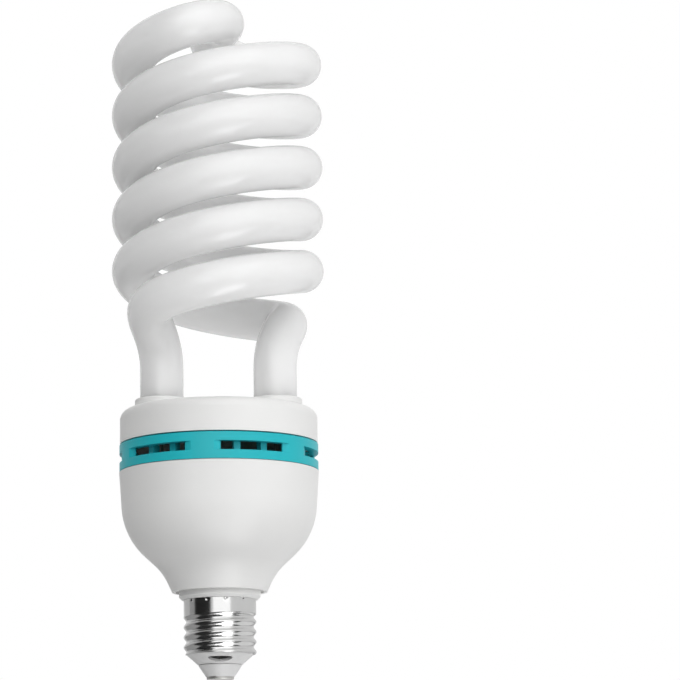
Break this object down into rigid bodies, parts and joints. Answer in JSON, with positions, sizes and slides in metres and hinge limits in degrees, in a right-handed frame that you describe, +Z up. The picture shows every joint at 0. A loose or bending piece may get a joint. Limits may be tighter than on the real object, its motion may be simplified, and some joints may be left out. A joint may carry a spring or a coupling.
{
  "type": "spiral energy saving bulb",
  "caption": "Compact fluorescent bulb with a double spiral glass tube, a vented round ballast housing and an E27 screw cap.",
  "frame": {"origin": "tip of the centre contact, at the bottom of the bulb's axis", "axes": "+Z up the bulb's axis from the screw cap to the spiral; +X towards one leg of the tube; the front faces -Y"},
  "size_m": [0.0776, 0.0776, 0.2489],
  "materials": {
    "black_moulding": "satin",
    "board_laminate": "matt",
    "bobbin_plastic": "satin",
    "box_capacitor": "satin",
    "cap_plastic": "satin",
    "capacitor_sleeve": "gloss",
    "cement": "matt",
    "contact_metal": "satin",
    "copper_wire": "gloss",
    "ferrite": "matt",
    "film_capacitor": "gloss",
    "nickel": "polished",
    "opal_glass": "gloss",
    "resistor_body": "satin",
    "sheet_aluminium": "satin",
    "teal_plastic": "satin",
    "tinned_metal": "satin",
    "white_plastic": "satin",
    "wire_insulation": "satin"
  },
  "bodies": {
    "root": {"bulk_capacitor": "capacitor_sleeve", "cap_insulator": "cap_plastic", "cap_shell": "nickel", "centre_contact": "contact_metal", "choke_bobbin": "bobbin_plastic", "choke_core": "ferrite", "choke_winding": "copper_wire", "circuit_board": "board_laminate", "contact_wire": "wire_insulation", "filter_choke_core": "ferrite", "filter_choke_winding": "copper_wire", "fuse_resistor": "resistor_body", "heat_spreader": "sheet_aluminium", "input_capacitor": "box_capacitor", "lead_wires_left": "tinned_metal", "lead_wires_right": "tinned_metal", "leg_cement_left": "cement", "leg_cement_right": "cement", "lower_housing": "white_plastic", "neck_ring": "white_plastic", "rectifier_diodes": "black_moulding", "resonant_capacitor": "film_capacitor", "shell_wire": "wire_insulation", "small_resistors": "resistor_body", "spiral_tube": "opal_glass", "starting_capacitor": "film_capacitor", "toroid_core": "ferrite", "toroid_windings": "copper_wire", "transistor_left": "black_moulding", "transistor_right": "black_moulding", "upper_cover": "white_plastic", "vent_ring": "teal_plastic", "wrap_pins": "tinned_metal"}
  },
  "joints": []
}
